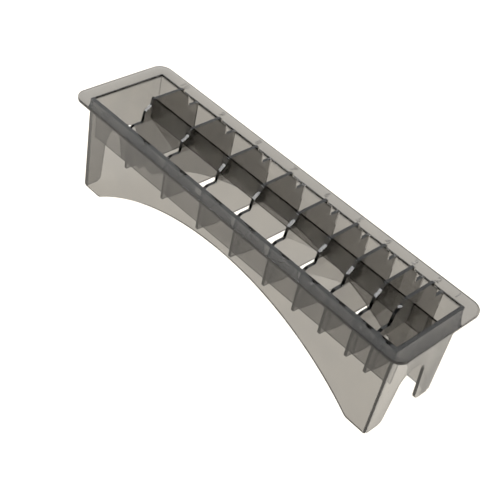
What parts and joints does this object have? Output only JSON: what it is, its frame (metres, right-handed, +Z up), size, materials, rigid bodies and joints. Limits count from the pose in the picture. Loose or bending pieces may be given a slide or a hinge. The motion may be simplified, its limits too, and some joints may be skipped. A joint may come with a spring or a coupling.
{
  "type": "clipper guard comb rack",
  "caption": "Long smoked clear plastic rack with a flat rim and arched corner legs, which stores clipper guard combs upright between graded crowned dividers.",
  "frame": {"origin": "on the ground, under the middle of the rack's rim", "axes": "+X along the rack from the widest compartment to the narrowest, +Y from the front side wall to the back one, +Z up from the feet to the rim"},
  "size_m": [0.275, 0.074, 0.0853],
  "materials": {
    "smoked_plastic": "gloss, clear smoke-grey, light passes through with dark edges"
  },
  "bodies": {
    "root": {"rim": "smoked_plastic", "front_wall": "smoked_plastic", "back_wall": "smoked_plastic", "left_end_wall": "smoked_plastic", "right_end_wall": "smoked_plastic", "divider_1": "smoked_plastic", "divider_2": "smoked_plastic", "divider_3": "smoked_plastic", "divider_4": "smoked_plastic", "divider_5": "smoked_plastic", "divider_6": "smoked_plastic", "divider_7": "smoked_plastic", "divider_8": "smoked_plastic", "divider_9": "smoked_plastic", "front_rail_1": "smoked_plastic", "front_rail_2": "smoked_plastic", "front_rail_3": "smoked_plastic", "front_rail_4": "smoked_plastic", "front_rail_5": "smoked_plastic", "front_rail_6": "smoked_plastic", "front_rail_7": "smoked_plastic", "front_rail_8": "smoked_plastic", "front_rail_9": "smoked_plastic", "front_rail_10": "smoked_plastic", "back_rail_1": "smoked_plastic", "back_rail_2": "smoked_plastic", "back_rail_3": "smoked_plastic", "back_rail_4": "smoked_plastic", "back_rail_5": "smoked_plastic", "back_rail_6": "smoked_plastic", "back_rail_7": "smoked_plastic", "back_rail_8": "smoked_plastic", "back_rail_9": "smoked_plastic", "back_rail_10": "smoked_plastic"}
  },
  "joints": []
}
